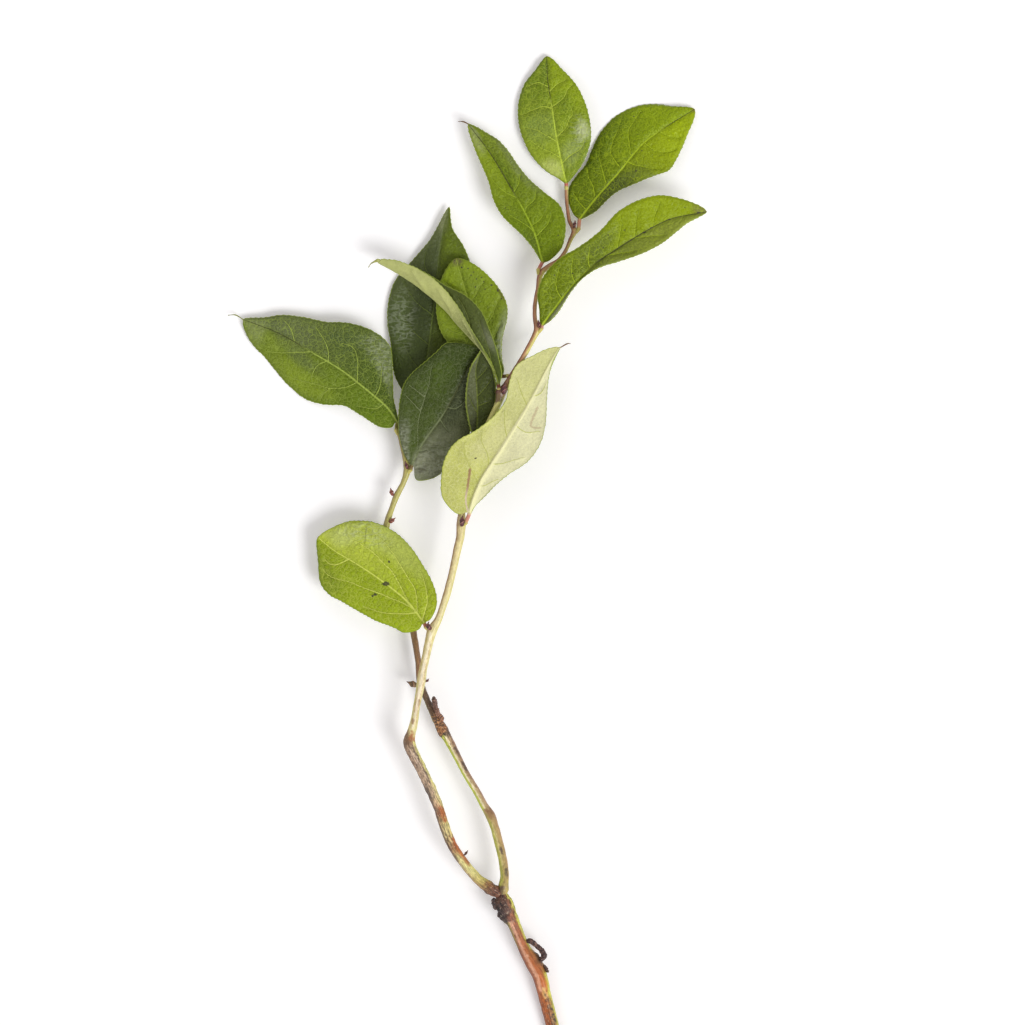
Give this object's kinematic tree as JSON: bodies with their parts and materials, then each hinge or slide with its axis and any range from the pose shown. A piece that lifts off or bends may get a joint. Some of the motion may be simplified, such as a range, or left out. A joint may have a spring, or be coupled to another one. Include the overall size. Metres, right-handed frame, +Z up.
{
  "type": "salal sprig",
  "caption": "Cut salal sprig lying flat: a woody stem that forks into two thin branches with oval leathery leaves and small buds.",
  "frame": {"origin": "bottom centre of the bounding box, on the surface that the sprig lies on", "axes": "+Y from the cut end towards the top leaf, +Z up from the surface, +X to the right seen from above"},
  "size_m": [0.2154, 0.4434, 0.0256],
  "materials": {
    "brown_bark": "thin red-brown bark with a slight gloss, green along one side",
    "green_bark": "yellow-green young bark, brown along one side",
    "pale_bark": "pale yellow-green young bark with peeling grey-brown patches low down",
    "leaf_light": "leathery, satin, with pale net veins",
    "leaf_mid": "leathery, satin, with pale net veins",
    "leaf_dark": "leathery, silvery sheen on a wrinkled surface",
    "leaf_underside": "matt pale underside with raised veins",
    "bud_scales": "dark purple-red bud scales",
    "dead_bark": "dry dark bark"
  },
  "bodies": {
    "root": {"main_stem": "brown_bark", "right_branch": "green_bark", "left_branch": "pale_bark", "leaf_low_left": "leaf_light", "leaf_pale_underside": "leaf_underside", "leaf_dark_front": "leaf_dark", "leaf_curled": "leaf_light", "leaf_small_dark": "leaf_dark", "leaf_oval": "leaf_mid", "leaf_far_left": "leaf_mid", "leaf_right": "leaf_light", "leaf_tall_behind": "leaf_dark", "leaf_upper_left": "leaf_mid", "leaf_upper_right": "leaf_light", "leaf_top": "leaf_light", "bud_low_leaf": "bud_scales", "bud_pale_leaf": "bud_scales", "bud_curled_leaf": "bud_scales", "bud_right_leaf": "bud_scales", "bud_upper_right_leaf": "bud_scales", "bud_dark_leaf": "bud_scales", "bud_left_side": "bud_scales", "bud_right_side": "bud_scales", "bud_crossing": "bud_scales", "scale_bud": "dead_bark", "dead_twig_stub": "dead_bark", "hooked_stub": "dead_bark", "spur_stub": "dead_bark", "thorn_stub": "dead_bark", "fork_knot": "dead_bark"}
  },
  "joints": []
}
